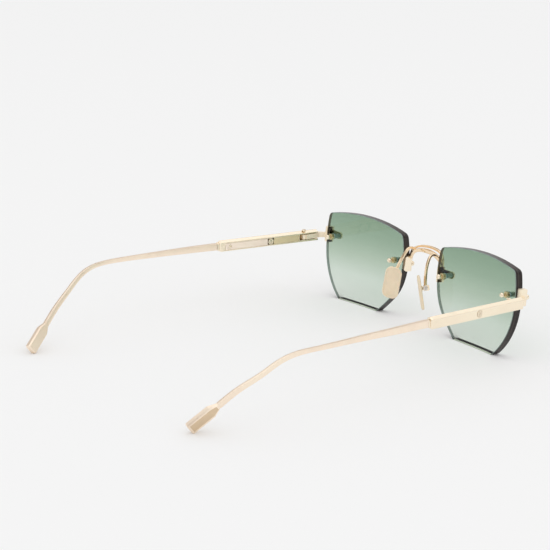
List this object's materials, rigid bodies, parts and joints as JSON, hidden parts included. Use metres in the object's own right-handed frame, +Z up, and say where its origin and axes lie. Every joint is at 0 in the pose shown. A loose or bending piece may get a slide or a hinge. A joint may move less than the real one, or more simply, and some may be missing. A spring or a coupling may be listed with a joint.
{
  "type": "rimless sunglasses",
  "caption": "Rimless sunglasses with faceted tinted lenses, a double-bar bridge, rocking nose pads and slim metal temples that fold.",
  "frame": {"origin": "on the floor, midway between the temples and midway between the front and the temple tips", "axes": "+X towards the wearer's left, -Y forwards out of the lenses, +Z up, with the temples unfolded and the glasses standing on the lens bottoms and temple tips"},
  "size_m": [0.1504, 0.163, 0.0391],
  "materials": {
    "lens_tint": "polished, green fading downwards",
    "gold": "polished pale champagne plating",
    "pale_gold": "satin pale champagne plating",
    "olive_metal": "satin olive gold",
    "tan_panel": "satin tan",
    "clear_sleeve": "clear moulded",
    "steel": "turned",
    "pad_plastic": "satin moulded"
  },
  "bodies": {
    "front": {"bridge_lower_bar": "gold", "bridge_upper_bar": "gold", "left_lens": "lens_tint", "left_lens_bushings": "clear_sleeve", "left_lens_nuts": "olive_metal", "left_lens_screws": "gold", "left_nasal_plate": "gold", "left_nasal_trim_screw": "gold", "left_endpiece": "gold", "left_temporal_trim_screw": "gold", "left_pad_box": "gold", "left_pad_screw": "steel", "left_pad_arm": "gold", "right_lens": "lens_tint", "right_lens_bushings": "clear_sleeve", "right_lens_nuts": "olive_metal", "right_lens_screws": "gold", "right_nasal_plate": "gold", "right_nasal_trim_screw": "gold", "right_endpiece": "gold", "right_temporal_trim_screw": "gold", "right_pad_box": "gold", "right_pad_screw": "steel", "right_pad_arm": "gold"},
    "left_temple": {"left_temple_box": "gold", "left_box_inlay": "olive_metal", "left_box_cover": "pale_gold", "left_box_screw": "gold", "left_box_ring_nut": "gold", "left_cover_screw": "gold", "left_hinge_pin": "gold", "left_wire_collar": "gold", "left_temple_wire": "gold", "left_temple_tip": "gold", "left_tip_inlay": "tan_panel"},
    "left_pad": {"left_nose_pad": "pad_plastic", "left_pad_tongue": "gold"},
    "right_temple": {"right_temple_box": "gold", "right_box_inlay": "olive_metal", "right_box_cover": "pale_gold", "right_box_screw": "gold", "right_box_ring_nut": "gold", "right_cover_screw": "gold", "right_hinge_pin": "gold", "right_wire_collar": "gold", "right_temple_wire": "gold", "right_temple_tip": "gold", "right_tip_inlay": "tan_panel"},
    "right_pad": {"right_nose_pad": "pad_plastic", "right_pad_tongue": "gold"}
  },
  "joints": [
    {"name": "left_temple_fold", "type": "hinge", "parent": "front", "child": "left_temple", "pos_m": [0.06765, -0.06388, 0.0258], "axis": [0, 0, 1], "range_deg": [0, 90]},
    {"name": "right_temple_fold", "type": "hinge", "parent": "front", "child": "right_temple", "pos_m": [-0.06765, -0.06388, 0.0258], "axis": [0, 0, -1], "range_deg": [0, 75]},
    {"name": "left_pad_rock", "type": "hinge", "parent": "front", "child": "left_pad", "pos_m": [0.0103, -0.06922, 0.01904], "axis": [0.8024, 0.5616, 0.2018], "range_deg": [-10, 10]},
    {"name": "right_pad_rock", "type": "hinge", "parent": "front", "child": "right_pad", "pos_m": [-0.0103, -0.06922, 0.01904], "axis": [0.8024, -0.5616, -0.2018], "range_deg": [-10, 10]}
  ]
}
